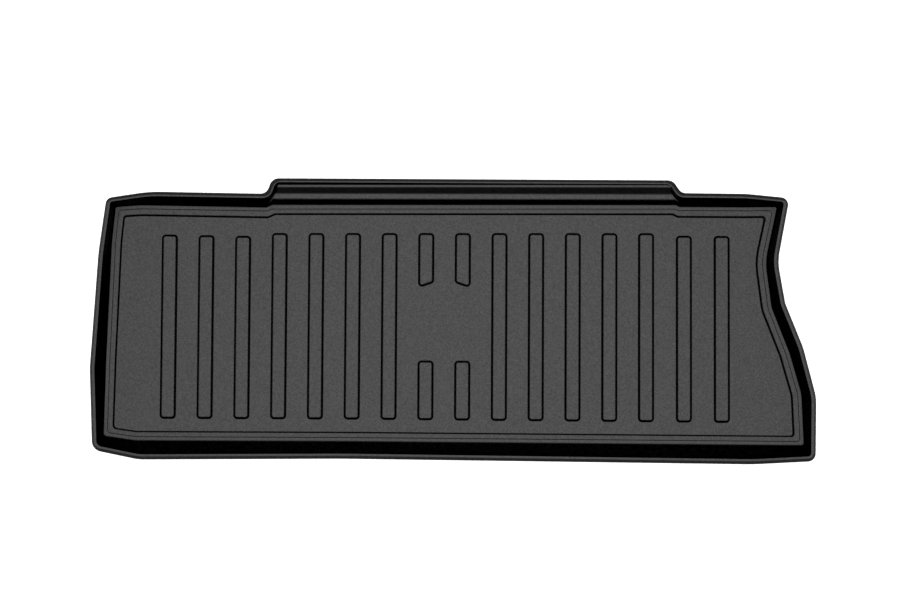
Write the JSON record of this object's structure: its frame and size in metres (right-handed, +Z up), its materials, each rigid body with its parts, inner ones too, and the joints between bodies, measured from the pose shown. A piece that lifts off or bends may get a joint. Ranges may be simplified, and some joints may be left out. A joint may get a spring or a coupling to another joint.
{
  "type": "car boot liner",
  "caption": "One-piece moulded rubber tray with raised ribs, raked walls and a flat rim, shaped to line the floor of a car boot and keep spills and dirt off it.",
  "frame": {"origin": "middle of the outline's box, on the flat underside that lies on the boot floor", "axes": "+X to the right across the car, towards the side with the waist; +Y away from the sill towards the seats, where the shelved extension is; +Z up, out of the open tray"},
  "size_m": [1.0475, 0.4103, 0.04],
  "materials": {
    "rubber": "matt black rubber with a fine pebble grain, a little smoother on the walls"
  },
  "bodies": {
    "root": {"boot_liner": "rubber"}
  },
  "joints": []
}
